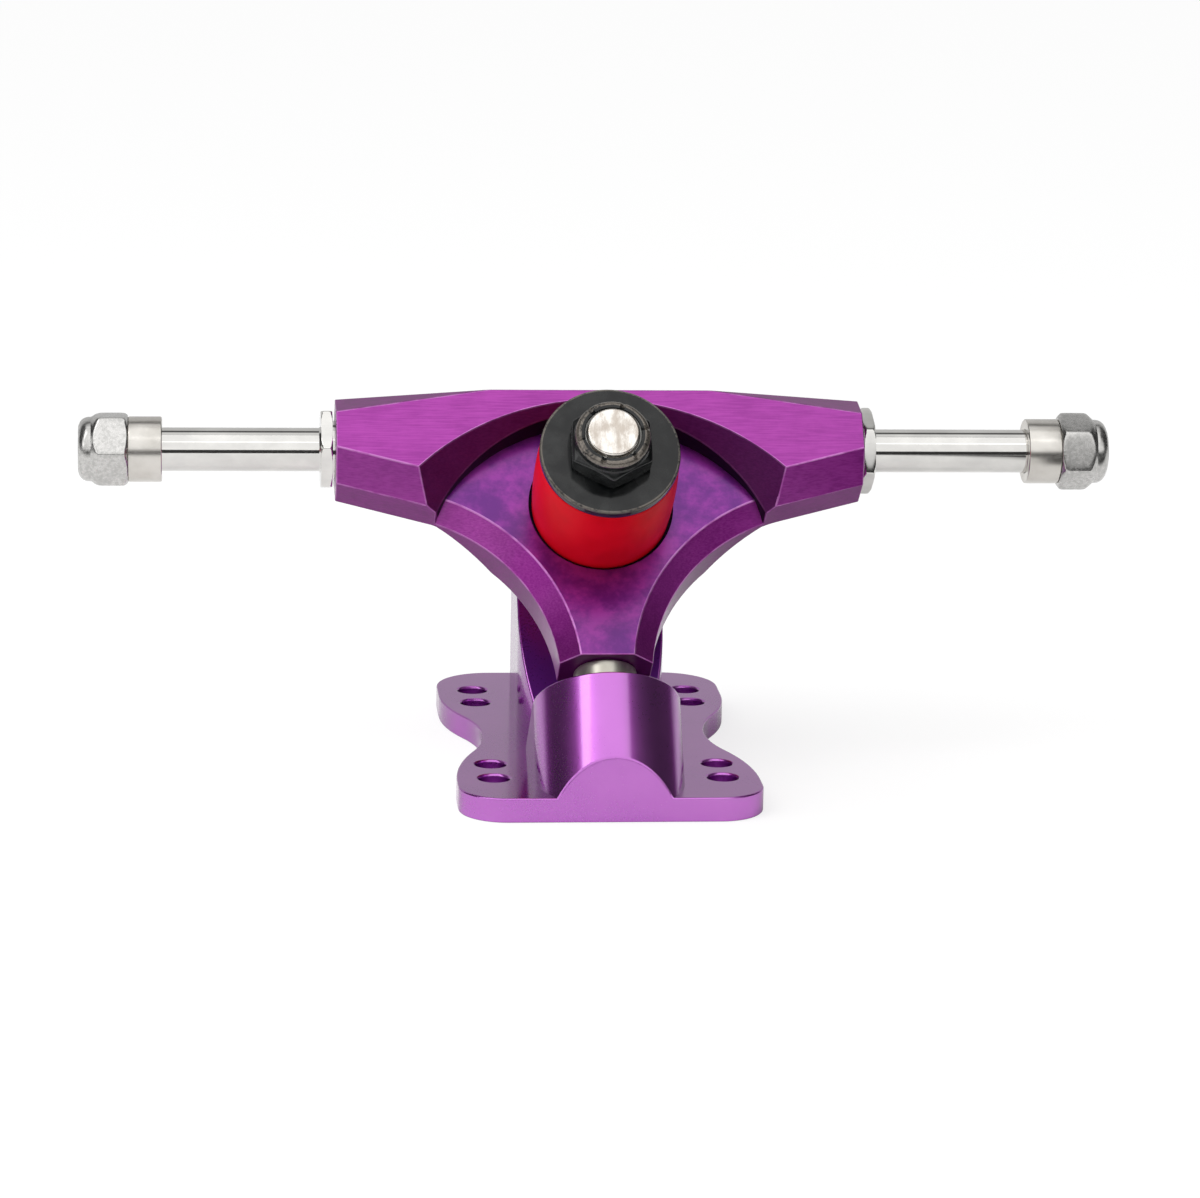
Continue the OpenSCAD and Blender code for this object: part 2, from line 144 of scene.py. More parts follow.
class Value:
    """A number that varies over the surface. Arithmetic on it adds Math nodes."""

    def __init__(self, paint, socket):
        self.paint = paint
        self.socket = socket

    def math(self, operation, first, second):
        """A Math node on two numbers, either of which may vary."""
        return self.paint.node("ShaderNodeMath", {"operation": operation}, {0: first, 1: second})

    def __add__(self, other):
        return self.math("ADD", self, other)

    def __sub__(self, other):
        return self.math("SUBTRACT", self, other)

    def __rsub__(self, other):
        return self.math("SUBTRACT", other, self)

    def __mul__(self, other):
        return self.math("MULTIPLY", self, other)

    __radd__ = __add__
    __rmul__ = __mul__

    def between(self, low, high):
        """0 below low, 1 above high, smooth in between."""
        return self.paint.node("ShaderNodeMapRange", {"interpolation_type": "SMOOTHSTEP"},
                               {"Value": self, "From Min": low, "From Max": high})


class Paint:
    """A node tree under construction."""

    def __init__(self, tree):
        self.tree = tree

    def node(self, kind, settings=None, sockets=None, out=0):
        """Adds a node, sets its settings, fills or links its sockets. A tuple asks for several outputs."""
        made = self.tree.nodes.new(kind)
        for name, value in (settings or {}).items():
            setattr(made, name, value)
        for name, value in (sockets or {}).items():
            self.feed(made.inputs[name], value)
        if isinstance(out, tuple):
            return [Value(self, made.outputs[name]) for name in out]
        return Value(self, made.outputs[out])

    def feed(self, socket, value):
        """Links a varying value to a socket, or sets a plain one on it."""
        if isinstance(value, Value):
            self.tree.links.new(value.socket, socket)
        else:
            socket.default_value = value

    def place(self):
        """Object coordinates in metres."""
        return self.node("ShaderNodeTexCoord", out="Object")

    def marked(self, name):
        """A number that the mesh keeps for each face, 0 where it keeps none."""
        return self.node("ShaderNodeAttribute", {"attribute_name": name}, out="Fac")

    def noise(self, scale, detail=3.0, roughness=0.55):
        """Noise with about that many lumps a metre: one number, or one for each axis."""
        scales = scale if isinstance(scale, tuple) else (scale,) * 3
        place = self.node("ShaderNodeVectorMath", {"operation": "MULTIPLY"}, {0: self.place(), 1: scales})
        return self.node("ShaderNodeTexNoise", None, {
            "Vector": place, "Scale": 1.0, "Detail": detail, "Roughness": roughness})

    def blend(self, factor, first, second):
        """A colour between two colours."""
        return self.node("ShaderNodeMix", {"data_type": "RGBA"}, {0: factor, 6: first, 7: second}, out=2)

    def bump(self, height, strength, distance):
        """A normal tilted by the slope of a height."""
        return self.node("ShaderNodeBump", None,
                         {"Height": height, "Strength": strength, "Distance": distance})


def finish(name, fixed, varying):
    """A material: fixed sockets of the surface shader, then those that a function of the tree returns."""
    material = bpy.data.materials.new(name)
    material.use_nodes = True
    paint = Paint(material.node_tree)
    shader = material.node_tree.nodes["Principled BSDF"]
    for socket, value in fixed.items():
        shader.inputs[socket].default_value = value
    for socket, value in varying(paint).items():
        paint.feed(shader.inputs[socket], value)
    print("finish", name, "has", len(material.node_tree.nodes), "nodes")
    return material


# %% [markdown]
# ## Anodised aluminium
# Anodising grows a clear, dyed layer on the metal. Purple paint would look flat; here the metal gives
# a coloured reflection and the layer adds a pale one that takes over at flat angles, so the shader is
# a coloured metal with a coat. The plate was tumbled and is even; the hanger's faces keep fine
# streaks from the last cutting pass. Each finish blends a pair of tones, and marks on the faces say
# where shade is painted in: darker, with less metal and less coat where light hardly reaches.

# %% Purple of the plate
PLATE = ((0.480, 0.090, 0.560, 1), (0.550, 0.120, 0.620, 1))
# Painted shade: the dark blue purple of the ramp, which lies in the shade of the hanger.
RAMP_SHADE = (0.120, 0.016, 0.220, 1)
PLATE_METAL = {"Coat Roughness": 0.12, "Coat IOR": 1.9, "Specular Tint": (0.32, 0.24, 0.32, 1)}


def tumbled(paint):
    """Faint clouds and a fine grain; painted shade, darker and with less coat, where a face is marked for
    it.
    """
    cloud = paint.noise(55)
    grain = paint.noise(2600, detail=2)
    painted_shade = paint.marked("painted_shade")
    even = paint.blend(cloud.between(0.3, 0.75), *PLATE)
    return {
        "Base Color": paint.blend(painted_shade, even, RAMP_SHADE),
        "Metallic": 1 - 0.45 * painted_shade,
        "Coat Weight": 1 - 0.8 * painted_shade,
        "Roughness": 0.23 + 0.05 * cloud + 0.06 * grain,
        "Normal": paint.bump(grain, 0.03, 0.05 * MM),
    }


plate_finish = finish("anodised_plate", PLATE_METAL, tumbled)

# %% Purple of the hanger
HANGER = ((0.300, 0.016, 0.285, 1), (0.430, 0.040, 0.400, 1))
# The pocket floor's darker tones are partly cloudy tool marks and partly painted shade of the bushing and
# washer.
POCKET = ((0.130, 0.006, 0.210, 1), (0.330, 0.028, 0.360, 1))
# Painted shade: the near black of the pocket's wall, flare, seat, nose and downward faces.
SHADE_TONE = (0.010, 0.003, 0.015, 1)
# Partly wear and partly a painted highlight: a light purple along the bevelled edges.
EDGE_WEAR_AND_GLINT = (0.740, 0.330, 0.740, 1)
HANGER_METAL = {"Coat Roughness": 0.2, "Coat IOR": 1.45, "Specular IOR Level": 0.15,
                "Specular Tint": (0.25, 0.10, 0.25, 1)}
STREAKS = (170, 3600, 3600)
CLOUDS = (130, 150, 150)


def milled(paint):
    """Streaks outside, clouds on the pocket's floor, painted shade where marked, wear and a painted
    highlight on edges.
    """
    streak = paint.noise(STREAKS, detail=3)
    cloud = paint.noise(CLOUDS, detail=5, roughness=0.68)
    nicks = paint.noise(260, detail=3)
    painted_shade = paint.marked("painted_shade")
    wear_and_glint = paint.marked("wear_and_glint") * (0.12 + 0.36 * nicks.between(0.35, 0.6)) * (1 - painted_shade)
    outer = paint.blend((0.6 * streak + 0.4 * cloud).between(0.34, 0.66), *HANGER)
    inner = paint.blend(cloud.between(0.34, 0.66), *POCKET)
    faces = paint.blend(painted_shade, paint.blend(paint.marked("pocket"), outer, inner), SHADE_TONE)
    return {
        "Base Color": paint.blend(wear_and_glint, faces, EDGE_WEAR_AND_GLINT),
        "Metallic": 1 - 0.6 * painted_shade,
        "Roughness": 0.3 + 0.12 * streak + 0.08 * cloud + 0.1 * painted_shade - 0.06 * wear_and_glint,
        "Coat Weight": 1 - 0.95 * painted_shade,
        "Normal": paint.bump(streak, 0.08, 0.04 * MM),
    }


hanger_finish = finish("anodised_hanger", HANGER_METAL, milled)

# %% [markdown]
# ## Bright steel
# The axles are ground and polished, with faint rings across them. The spacers are turned on a lathe
# and rougher. The nuts are plated over a rolled surface, which leaves a speckle. One steel for all
# would be simpler, but side by side they differ, so each has its own pattern and two tones to blend.

# %% Axles, spacers and nuts
BARE = {"Metallic": 1.0}
GROUND = ((0.66, 0.65, 0.63, 1), (0.80, 0.79, 0.76, 1))
TURNED = ((0.60, 0.575, 0.535, 1), (0.72, 0.695, 0.655, 1))
PLATED = ((0.50, 0.495, 0.48, 1), (0.66, 0.65, 0.635, 1))


def ground(paint):
    """Fine rings across the shaft under a faint smear."""
    rings = paint.noise((1700, 60, 60), detail=3)
    smear = paint.noise((90, 160, 160), detail=4)
    return {
        "Base Color": paint.blend(smear.between(0.35, 0.7), *GROUND),
        "Roughness": 0.04 + 0.05 * smear + 0.03 * rings,
        "Normal": paint.bump(rings, 0.04, 0.03 * MM),
    }


def turned(paint):
    """Closer and deeper rings from a lathe."""
    rings = paint.noise((3200, 40, 40), detail=4)
    cloud = paint.noise(180)
    return {
        "Base Color": paint.blend(cloud.between(0.3, 0.7), *TURNED),
        "Roughness": 0.2 + 0.1 * rings,
        "Normal": paint.bump(rings, 0.07, 0.04 * MM),
    }


def plated(paint):
    """A speckle of grain and clouds."""
    grain = paint.noise(1500, detail=3, roughness=0.6)
    cloud = paint.noise(240)
    speckle = 0.7 * grain + 0.3 * cloud
    return {
        "Base Color": paint.blend(speckle.between(0.38, 0.62), *PLATED),
        "Roughness": 0.16 + 0.14 * grain + 0.06 * cloud,
        "Normal": paint.bump(grain, 0.06, 0.06 * MM),
    }


axle_finish = finish("ground_steel", BARE, ground)
spacer_finish = finish("turned_steel", BARE, turned)
nut_finish = finish("plated_steel", BARE, plated)

# %% [markdown]
# ## Black steel, cut steel and nylon
# Washer and kingpin nut are gloss black over steel, and the black has rubbed off along the rims that
# are marked as worn. The kingpin's end was sawn and is rough and bright. The pivot pin is duller and
# warmer, and nylon is plain and pale. Flat colours would do from afar, but real ones are uneven.

# %% Kingpin, pivot and inserts
BLACK = ((0.002, 0.0025, 0.003, 1), (0.020, 0.021, 0.021, 1))
RUBBED_STEEL = (0.26, 0.23, 0.20, 1)
CUT = ((0.56, 0.50, 0.44, 1), (0.95, 0.92, 0.87, 1))
PIN = ((0.50, 0.48, 0.42, 1), (0.66, 0.64, 0.57, 1))
NYLON = ((0.52, 0.52, 0.50, 1), (0.66, 0.66, 0.63, 1))


def blacked(paint):
    """Smeared black with dust, rubbed to steel in spots of the marked rims."""
    smear = paint.noise(210, detail=4)
    dust = paint.noise(2400, detail=2)
    wear_and_glint = paint.marked("wear_and_glint") * (0.5 * smear + 0.5 * dust).between(0.36, 0.56)
    black = paint.blend(smear.between(0.35, 0.75), *BLACK)
    return {
        "Base Color": paint.blend(wear_and_glint, black, RUBBED_STEEL),
        "Metallic": wear_and_glint,
        "Roughness": 0.07 + 0.1 * smear + 0.04 * dust + 0.15 * wear_and_glint,
        "Normal": paint.bump(dust, 0.05, 0.03 * MM),
    }


def cut_steel(paint):
    """Deep uneven smears of a sawn face."""
    smear = paint.noise((520, 240, 240), detail=5, roughness=0.62)
    return {
        "Base Color": paint.blend(smear.between(0.34, 0.62), *CUT),
        "Roughness": 0.14 + 0.2 * smear,
        "Normal": paint.bump(smear, 0.3, 0.12 * MM),
    }


def pin_steel(paint):
    """A greased, slightly dull steel."""
    smear = paint.noise((260, 90, 90), detail=4)
    return {
        "Base Color": paint.blend(smear.between(0.35, 0.7), *PIN),
        "Roughness": 0.26 + 0.12 * smear,
        "Normal": paint.bump(smear, 0.1, 0.06 * MM),
    }


def nylon(paint):
    """A pale plastic with faint clouds."""
    cloud = paint.noise(400)
    return {
        "Base Color": paint.blend(cloud, *NYLON),
        "Roughness": 0.42 + 0.12 * cloud,
    }


black_finish = finish("black_steel", {"Specular IOR Level": 0.42}, blacked)
kingpin_finish = finish("cut_steel", BARE, cut_steel)
pin_finish = finish("pin_steel", BARE, pin_steel)
nylon_finish = finish("nylon", {}, nylon)

# %% [markdown]
# ## Cast urethane
# A bushing is poured urethane: dyed through, a little cloudy, with a satin skin. It could be made
# translucent, which is slow; a low subsurface weight softens the shade well enough, and the skin's
# fine orange-peel is a bump.

# %% Red of the bushings
RED = ((0.50, 0.0015, 0.006, 1), (0.61, 0.003, 0.012, 1))
CAST = {"Subsurface Weight": 0.12, "Subsurface Scale": 2 * MM, "Specular IOR Level": 0.05}


def urethane(paint):
    """Two reds in soft clouds under a fine orange-peel."""
    cloud = paint.noise(90)
    peel = paint.noise(900, detail=2)
    return {
        "Base Color": paint.blend(cloud.between(0.3, 0.7), *RED),
        "Roughness": 0.38 + 0.08 * cloud,
        "Normal": paint.bump(peel, 0.05, 0.08 * MM),
    }


bushing_finish = finish("red_urethane", CAST, urethane)

# %% [markdown]
# ## Machined blocks with broken edges
# The plate and the hanger have the right shape in the imported model, but a machinist breaks every edge,
# and those narrow bevels catch the light. A Bevel modifier with weighted normals could do it, but it left
# wedges of wrong shade on large flats. So a merged copy is bevelled once, its bevels are marked for wear
# and a painted highlight, and the normal at each corner of a face is worked out here.

# %% Faces as arrays
SHARP = math.radians(24)


def face_table(mesh):
    """Centres and normals of all faces as arrays."""
    centre = column(mesh.polygons, "center", np.float32, 3).astype(float)
    normal = column(mesh.polygons, "normal", np.float32, 3).astype(float)
    return centre, normal


def mark_faces(mesh, name, amount):
    """Keeps an amount from 0 to 1 for each face under a name that a finish can read."""
    layer = mesh.attributes.new(name, "FLOAT", "FACE")
    layer.data.foreach_set("value", np.asarray(amount, np.float32))


print("edges that turn more than", round(math.degrees(SHARP)), "degrees count as sharp")

# %% Normals at the corners
OUTER_SHARE = 1e6
BEVEL_TURN = math.radians(50)


def shade_flat_to_edges(mesh):
    """Corner normals that keep an outer face flat right up to its bevels.

    Each corner is a sum of face normals times areas. On an outer face it takes the outer faces at that
    vertex that turn less than SHARP. On a bevel it takes all faces there that turn less than BEVEL_TURN,
    and an outer face counts OUTER_SHARE times, so the bevel starts with the outer face's own normal.
    """
    corner = column(mesh.loops, "vertex_index", np.int32)
    sizes = column(mesh.polygons, "loop_total", np.int32)
    area = column(mesh.polygons, "area", np.float32)
    bevel = column(mesh.attributes["wear_and_glint"].data, "value", np.float32) > 0.5
    weight = area * np.where(bevel, 1.0, OUTER_SHARE)
    order = np.argsort(corner, kind="stable")
    vertex = corner[order]
    face = np.repeat(np.arange(len(sizes)), sizes)[order]
    normal = face_table(mesh)[1][face]
    narrow = bevel[face]
    pull = normal * weight[face][:, None]
    total = pull.copy()
    for step in range(1, np.bincount(vertex).max()):
        early = slice(None, -step)
        late = slice(step, None)
        cosine = (normal[early] * normal[late]).sum(axis=1)
        near = (vertex[early] == vertex[late]) & (cosine > math.cos(BEVEL_TURN))
        outer_pair = ~narrow[early] & ~narrow[late] & (cosine > math.cos(SHARP))
        for taking, giving in ((early, late), (late, early)):
            total[taking] += pull[giving] * (near & (narrow[taking] | outer_pair))[:, None]
    result = np.empty_like(total)
    result[order] = total / (np.linalg.norm(total, axis=1)[:, None] + 1e-12)
    mesh.polygons.foreach_set("use_smooth", np.ones(len(sizes), bool))
    mesh.normals_split_custom_set(result.tolist())
    return mesh


print("bevels are shaded across turns of up to", round(math.degrees(BEVEL_TURN)), "degrees")

# %% Copies with bevelled edges
MERGE = 0.1 * MM
FLAT_TURN = math.radians(0.2)
BEVEL_SLOT = 1


def broken_edges(node, width, steps=3, rim=None, rim_width=0.0):
    """A merged copy of a node whose outer edges are rounded to a width, with the rounding marked for wear
    and a painted highlight.

    Edges for which rim(middle) is true are rounded to rim_width first.
    """
    mesh = frame["nodes"][node].data.copy()
    work = bmesh.new()
    work.from_mesh(mesh)
    bmesh.ops.remove_doubles(work, verts=work.verts, dist=MERGE)
    bmesh.ops.dissolve_limit(work, angle_limit=FLAT_TURN, verts=work.verts, edges=work.edges)
    sharp = [edge for edge in work.edges if edge.calc_face_angle(0.0) > SHARP]
    for edge in sharp:
        edge.smooth = edge.is_convex
    outer = [edge for edge in sharp if edge.is_convex]
    rims = [edge for edge in outer if rim and rim((edge.verts[0].co + edge.verts[1].co) / 2)]
    taken = set(rims)
    others = [edge for edge in outer if edge not in taken]
    for edges, offset in ((rims, rim_width), (others, width)):
        if edges:
            bmesh.ops.bevel(work, geom=edges, offset=offset, offset_type="OFFSET", segments=steps,
                            profile=0.5, affect="EDGES", material=BEVEL_SLOT, clamp_overlap=False)
    work.to_mesh(mesh)
    work.free()
    slots = column(mesh.polygons, "material_index", np.int32)
    mark_faces(mesh, "wear_and_glint", slots == BEVEL_SLOT)
    mesh.polygons.foreach_set("material_index", np.zeros(len(slots), np.int32))
    return shade_flat_to_edges(mesh)


def add_piece(name, mesh, body, material, slot, *nodes):
    """Puts a mesh into the scene as a piece that stands for some nodes."""
    mesh.materials.clear()
    mesh.materials.append(material)
    piece = bpy.data.objects.new(name, mesh)
    bpy.context.scene.collection.objects.link(piece)
    if body:
        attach(piece, body)
    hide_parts(*nodes)
    print(name, len(mesh.polygons), "faces")
    return piece


print("points nearer than", round(MERGE / MM, 2), "mm are merged before an edge is broken")

# %% [markdown]
# ## Plate and set screw
# The upper rims of the bolt holes are broken a little wider than the other edges. The ramp under the
# lower bushing lies in the shade of the hanger, and that shade is painted in. Its faces could be picked by
# hand, but they are found by where they lie along the kingpin and which way they point, and are marked
# for the finish to paint darker.

# %% Plate with its rims and ramp
PLATE_EDGE = 0.35 * MM
SCREW_EDGE = 0.1 * MM
SCREW_STEPS = 2
HOLE_EDGE = 0.5 * MM
HOLE_X = 20.65 * MM
HOLE_Y = (22.225 * MM, 31.75 * MM)
HOLE_REACH = 3.2 * MM
TOP_FROM = 3 * MM
RAMP_REACH = 2.0 * MM
FACING_RAMP = 0.99


def hole_rim(middle):
    """True on the upper rim of a bolt hole."""
    across_gap = abs(abs(middle.x) - HOLE_X)
    along_gap = min(abs(abs(middle.y) - y) for y in HOLE_Y)
    return middle.z > TOP_FROM and math.hypot(across_gap, along_gap) < HOLE_REACH


plate_mesh = broken_edges("base_plate", PLATE_EDGE, rim=hole_rim, rim_width=HOLE_EDGE)
plate_centre, plate_normal = face_table(plate_mesh)
ramp_height = extent("board_bushing", kingpin_line)[0]
# The ramp's faces are marked for painted shade.
on_ramp = np.abs((plate_centre - crossing) @ kingpin_dir - ramp_height) < RAMP_REACH
ramp = on_ramp & (plate_normal @ kingpin_dir > FACING_RAMP)
mark_faces(plate_mesh, "painted_shade", ramp)
print("ramp", int(ramp.sum()), "faces")
add_piece("machined_plate", plate_mesh, "base", plate_finish, "anodised_plate", "base_plate")
screw_mesh = broken_edges("pivot_set_screw", SCREW_EDGE, SCREW_STEPS)
add_piece("grub_screw", screw_mesh, "hanger", black_finish, "black_steel", "pivot_set_screw")

# %% [markdown]
# ## The hanger's pocket
# The pocket round the bushing was cut last: its floor keeps cloudy tool marks and is painted a little
# darker for the shade of the bushing and washer, while its wall and the flare above, in the shade of the
# bushing, are painted near black. Painting them by hand would need a UV map, so they are found from where
# a face lies and which way it points, in the tilted frame of pivot axis and kingpin.

# %% Hanger faces in the tilted frame
HANGER_EDGE = 0.22 * MM
POCKET_CENTRE = -17.5 * MM
FLARE_CENTRE = -29.0 * MM
FLOOR_ABOVE_SEAT = 1.0 * MM
FLOOR_REACH = 0.6 * MM
WALL_BELOW_FLOOR = 1.2 * MM
SEAT_ROOM = 1.0 * MM
SEAT_TOP = 0.2 * MM
INWARD = 0.93
UPRIGHT = 0.3
FLOOR_FACING = 0.97
FLARE_FACING = 0.1
hanger_mesh = broken_edges("hanger", HANGER_EDGE)
centre, normal = face_table(hanger_mesh)
tilted_axes = np.stack([across, pivot_dir, kingpin_dir], axis=1)
tilted_place = (centre - crossing) @ tilted_axes
tilted_normal = normal @ tilted_axes


def faces_inward(middle):
    """True where a face's sideways direction points at a line parallel to the kingpin."""
    toward = np.array([0.0, middle]) - tilted_place[:, :2]
    length = np.linalg.norm(toward, axis=1) * np.linalg.norm(tilted_normal[:, :2], axis=1) + 1e-9
    return (toward * tilted_normal[:, :2]).sum(axis=1) / length > INWARD


bushing_low, _, bushing_radius = extent("road_bushing", kingpin_line)
rise = tilted_place[:, 2] - (bushing_low + FLOOR_ABOVE_SEAT)
above = rise > -WALL_BELOW_FLOOR
upright = np.linalg.norm(tilted_normal[:, :2], axis=1) > UPRIGHT
pocket_floor = (np.abs(rise) < FLOOR_REACH) & (tilted_normal[:, 2] > FLOOR_FACING)
wall = above & upright & faces_inward(POCKET_CENTRE)
flare = above & upright & faces_inward(FLARE_CENTRE) & (tilted_normal[:, 2] > FLARE_FACING)
in_seat = np.linalg.norm(tilted_place[:, :2], axis=1) < bushing_radius + SEAT_ROOM
seat = in_seat & above & (rise < SEAT_TOP) & ~pocket_floor
for part, chosen in (("pocket", pocket_floor), ("wall", wall), ("flare", flare), ("seat", seat)):
    print(part, int(chosen.sum()), "faces")

# %% [markdown]
# ## The hanger's painted shade
# The nose and the faces that look down are painted darker as well. Their shade grows with the tilt, because
# a shade that starts at one face would show as a step along the curved chamfers of the neck.

# %% Hanger with its marks
FLARE_SHADE = 0.8
NOSE_SHADE = 0.7
UNDER_SHADE = 0.45
LOWER_SHADE = 0.25
UNDER_FROM = 0.1
UNDER_TO = 0.4
LOWER_TO = 0.06
FACING = 0.9
NOSE_REACH = 1.0 * MM
nose_end = extent("hanger", pivot_line)[1]
nose = (tilted_normal[:, 1] < -FACING) & (tilted_place[:, 1] < NOSE_REACH - nose_end)
down = -normal[:, 2]
under = np.clip((down - UNDER_FROM) / (UNDER_TO - UNDER_FROM), 0, 1) * ~nose
lower = (normal[:, 1] < -FACING) * np.clip(down / LOWER_TO, 0, 1)
tilt_shade = np.where(lower > 0, LOWER_SHADE * lower, UNDER_SHADE * under)
# Each amount is how much painted shade the hanger's finish gives a face.
shade = np.where(nose, NOSE_SHADE, np.maximum(wall | seat, tilt_shade))
mark_faces(hanger_mesh, "pocket", pocket_floor)
mark_faces(hanger_mesh, "painted_shade", np.where(flare, FLARE_SHADE, shade))
add_piece("machined_hanger", hanger_mesh, "hanger", hanger_finish, "anodised_hanger", "hanger")

# %% [markdown]
# ## Turned surfaces
# Washers, spacers, bushings, bolts and nuts are all profiles carried round a line. Blender's Screw
# modifier turns a profile too, but here a row's radius and height may depend on the angle, which turns
# the same idea into hexagons and threads. One function makes the grid of points and its faces.

# %% A profile carried round a line
TURN = 96
SAME_POINT = 0.0005 * MM
ARC_ROOM = 0.45


def turned_mesh(name, line, rows, angle, capped):
    """Grid of points: row i is (radius, height) at each angle.

    A capped profile starts and ends on the line. Any other is closed from its last row to its first.
    """
    radius = np.stack([np.broadcast_to(row[0], angle.shape) for row in rows])
    height = np.stack([np.broadcast_to(row[1], angle.shape) for row in rows])
    points = line.place(radius, height, angle[None, :])
    index = np.arange(radius.size).reshape(radius.shape)
    if not capped:
        index = np.vstack([index, index[:1]])
    after = np.roll(index, -1, axis=1)
    quads = np.stack([index[:-1], after[:-1], after[1:], index[1:]], axis=-1).reshape(-1, 4)
    mesh = bpy.data.meshes.new(name)
    mesh.from_pydata(points.reshape(-1, 3).tolist(), [], quads.tolist())
    work = bmesh.new()
    work.from_mesh(mesh)
    bmesh.ops.remove_doubles(work, verts=work.verts, dist=SAME_POINT)
    work.to_mesh(mesh)
    work.free()
    mesh.polygons.foreach_set("use_smooth", np.ones(len(mesh.polygons), bool))
    mesh.set_sharp_from_angle(angle=SHARP)
    return mesh


def rounded(corners, radius, steps=4):
    """A closed profile whose corners are quadratic curves between two points on their sides.

    The curve is (1 - t)^2 start + 2 t (1 - t) corner + t^2 end, for t from 0 to 1.
    """
    corners = np.array(corners, float)
    before = np.roll(corners, 1, axis=0) - corners
    after = np.roll(corners, -1, axis=0) - corners
    room = np.minimum(np.linalg.norm(before, axis=1), np.linalg.norm(after, axis=1)) * ARC_ROOM
    cut = np.minimum(room, radius)[:, None]
    start = corners + before / np.linalg.norm(before, axis=1)[:, None] * cut
    end = corners + after / np.linalg.norm(after, axis=1)[:, None] * cut
    t = np.linspace(0, 1, steps)[None, :, None]
    arcs = (1 - t) ** 2 * start[:, None] + 2 * t * (1 - t) * corners[:, None] + t ** 2 * end[:, None]
    return arcs.reshape(-1, 2)


round_angles = np.arange(TURN) * (2 * math.pi / TURN)
print("round pieces have", TURN, "columns")

# %% Washers, spacers and nylon rings
RING_WEAR = 0.5
CUP_EDGE = 0.45 * MM
HEAD_WASHER_EDGE = 0.25 * MM
SPACER_EDGE = 0.35 * MM
NYLON_EDGE = 0.1 * MM


def mark_rim(mesh, line, inner, outer, low, amount):
    """Marks as worn, by an amount, the faces between two radii and above a height."""
    height, radius = line.around(face_table(mesh)[0])
    mark_faces(mesh, "wear_and_glint", amount * ((radius > inner) & (radius < outer) & (height > low)))


def fitted_ring(name, node, line, body, material, slot, edge):
    """A plain ring with rounded edges that fills the node's height, radius and bore."""
    low, high, outer = extent(node, line)
    bore = inner_radius(node, line)
    rows = rounded([(outer, low), (outer, high), (bore, high), (bore, low)], edge)
    mesh = turned_mesh(name, line, rows, round_angles, False)
    mark_rim(mesh, line, outer - edge, outer, high - edge, RING_WEAR)
    add_piece(name, mesh, body, material, slot, node)


fitted_ring("cup_washer", "road_washer", kingpin_line, "base", black_finish, "black_steel", CUP_EDGE)
fitted_ring("head_washer", "kingpin_head_washer", kingpin_line, "base", black_finish, "black_steel",
            HEAD_WASHER_EDGE)
for side, line in axle_lines.items():
    fitted_ring(f"speed_ring_{side}", f"spacer_{side}", line, f"spacer_{side}", spacer_finish,
                "turned_steel", SPACER_EDGE)
    fitted_ring(f"nylon_ring_{side}", f"axle_nut_insert_{side}", line, f"nut_{side}", nylon_finish,
                "nylon", NYLON_EDGE)
fitted_ring("nylon_ring_kingpin", "kingpin_nut_insert", kingpin_line, "kingpin_nut", nylon_finish,
            "nylon", NYLON_EDGE)

# %% [markdown]
# ## Bushings
# The squeezed urethane bulges a little at half height, and its moulded edges are round. A soft-body
# simulation could squeeze it; a parabola gives a like bulge at once. When the hanger steers, the end
# in the hanger goes with it while the other end stays on the kingpin; here the piece is attached to
# neither body.

# %% Two bushings
BULGE = 0.3 * MM
MOULD_EDGE = 0.9 * MM
MOULD_STEPS = 5
BORE_EDGE = 0.99 * MOULD_EDGE
WALL_ROWS = 25


def bushing(name, node):
    """A ring whose outer wall is its radius plus a bulge times 1 - t squared, t from -1 to 1 in height."""
    low, high, outer = extent(node, kingpin_line)
    bore = inner_radius(node, kingpin_line)
    t = np.linspace(-1, 1, WALL_ROWS)
    wall_height = (low + high) / 2 + t * ((high - low) / 2 - MOULD_EDGE)
    bulging = np.stack([outer + BULGE * (1 - t ** 2), wall_height], axis=1)
    corners = [(outer, high - MOULD_EDGE), (outer, high), (bore, high),
               (bore, low), (outer, low), (outer, low + MOULD_EDGE)]
    arcs = rounded(corners, BORE_EDGE, MOULD_STEPS)
    rows = np.vstack([bulging, arcs[MOULD_STEPS:-MOULD_STEPS]])
    mesh = turned_mesh(name, kingpin_line, rows, round_angles, False)
    piece = add_piece(name, mesh, None, bushing_finish, "red_urethane", node)
    ends = (kingpin_line.place(0.0, high, 0.0), kingpin_line.place(0.0, low, 0.0))
    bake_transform(piece)


bushing("road_side_bushing", "road_bushing")
bushing("board_side_bushing", "board_bushing")

# %% [markdown]
# ## Hexagons and threads
# A lock nut is a hexagon whose corners a cone has cut, so each chamfer edge is a shallow curve: the cone
# meets the flat early at the corners and late in the middle. Cutting solids from each other would leave
# hard edges, so the surface is the smaller of the radii with a rounded change-over. A cut corner lies
# CORNER_SHARE times as far out as a flat. A thread is a radius that falls and rises once per pitch along
# the height and shifts by one pitch per turn.

# %% Hexagons
SIDES = 6
SIXTH = 2 * math.pi / SIDES
SIDE_COLUMNS = 20
CORNER_PULL = 0.85
CORNER_SHARE = 1.13
OUTERMOST = 0.995
side_steps = np.arange(SIDE_COLUMNS) / SIDE_COLUMNS
side_angles = side_steps - CORNER_PULL * np.sin(2 * math.pi * side_steps) / (2 * math.pi)
hex_angles = (SIXTH * (np.arange(SIDES)[:, None] + side_angles)).ravel()


def softer(first, second, width):
    """The smaller of two lengths with a rounded change-over: (a + b - sqrt((a - b)^2 + width^2)) / 2."""
    return (first + second - np.sqrt((first - second) ** 2 + width ** 2)) / 2


